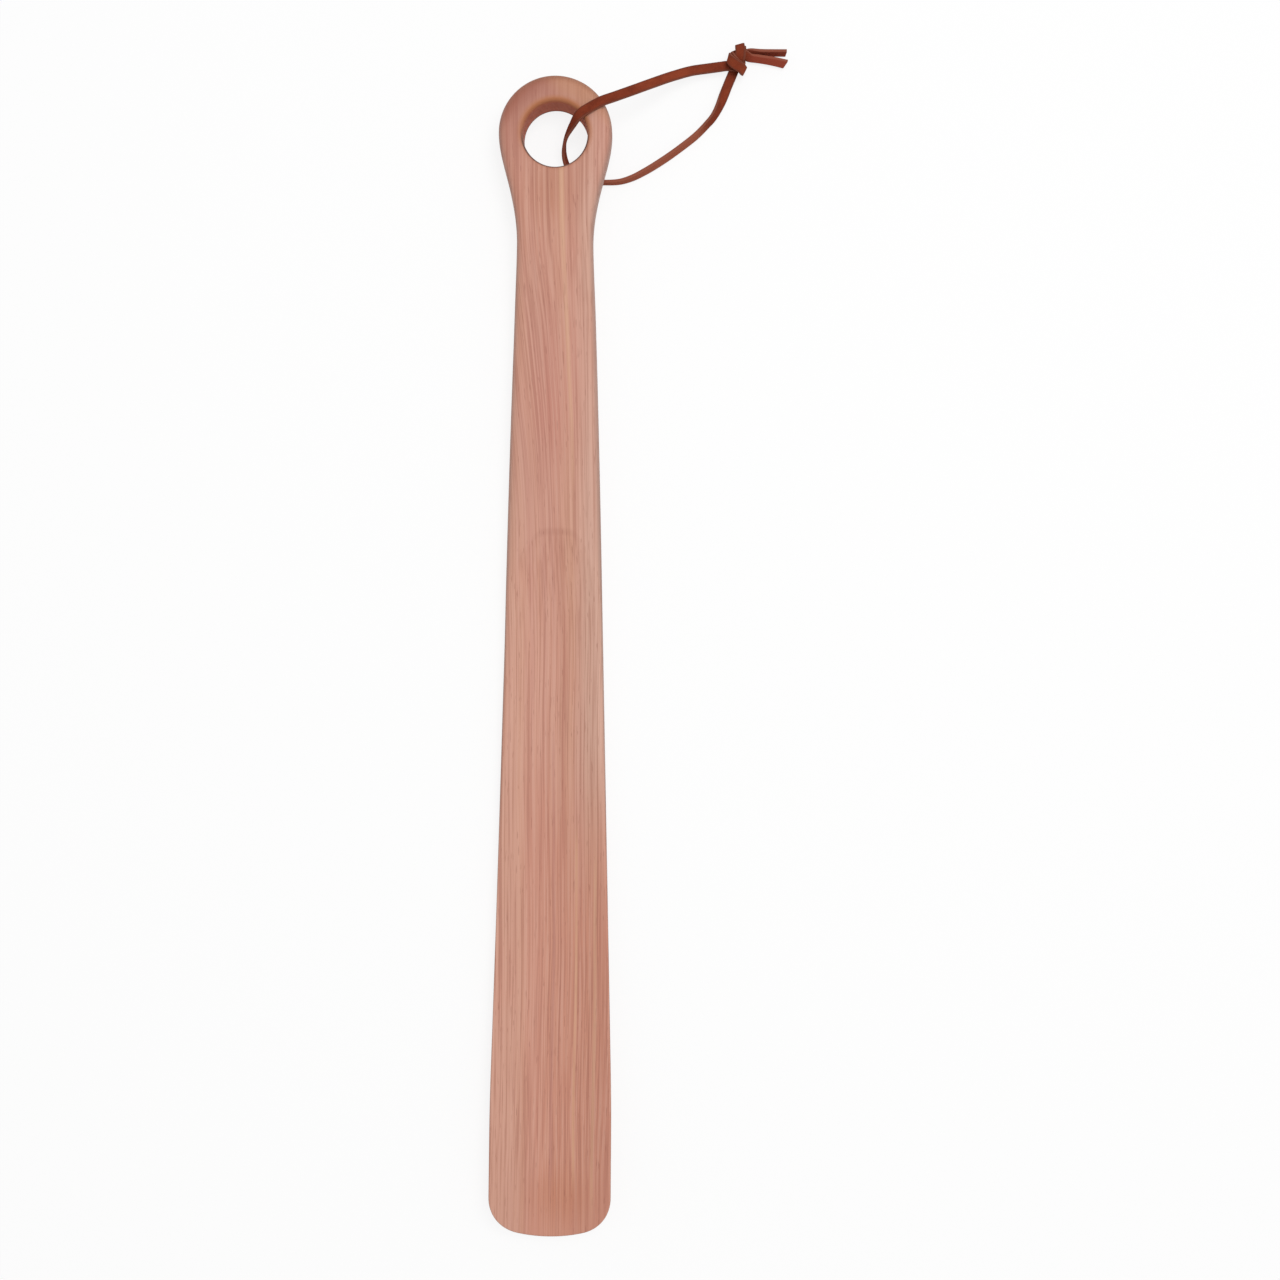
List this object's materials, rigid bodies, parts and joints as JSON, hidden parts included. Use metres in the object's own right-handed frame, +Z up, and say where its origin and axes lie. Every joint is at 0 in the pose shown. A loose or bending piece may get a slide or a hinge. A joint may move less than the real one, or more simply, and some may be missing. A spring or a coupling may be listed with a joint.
{
  "type": "shoe horn",
  "caption": "Long-handled carved wooden shoe horn with a hollowed blade, a round head drilled for hanging, and a flat leather lace knotted through the hole.",
  "frame": {"origin": "on the surface that it lies on, under the middle of the wood's length and width, with the hollow front up", "axes": "+Y along the wood towards the round head, +X to the right seen from the front, +Z up out of the hollow front"},
  "size_m": [0.1136, 0.4665, 0.0198],
  "materials": {
    "cedar": "fine-grained reddish cedar, sanded smooth, with a thin satin oil finish",
    "lace_leather": "dark red-brown flat suede lace, matt, with cut edges"
  },
  "bodies": {
    "horn": {"horn_body": "cedar"},
    "lace": {"lace_loop": "lace_leather", "lace_end_upper": "lace_leather", "lace_end_lower": "lace_leather"}
  },
  "joints": [
    {"name": "lace_swing", "type": "hinge", "parent": "horn", "child": "lace", "pos_m": [0, 0.2018, 0.0113], "axis": [0, 0, 1], "range_deg": [-20, 135]}
  ]
}
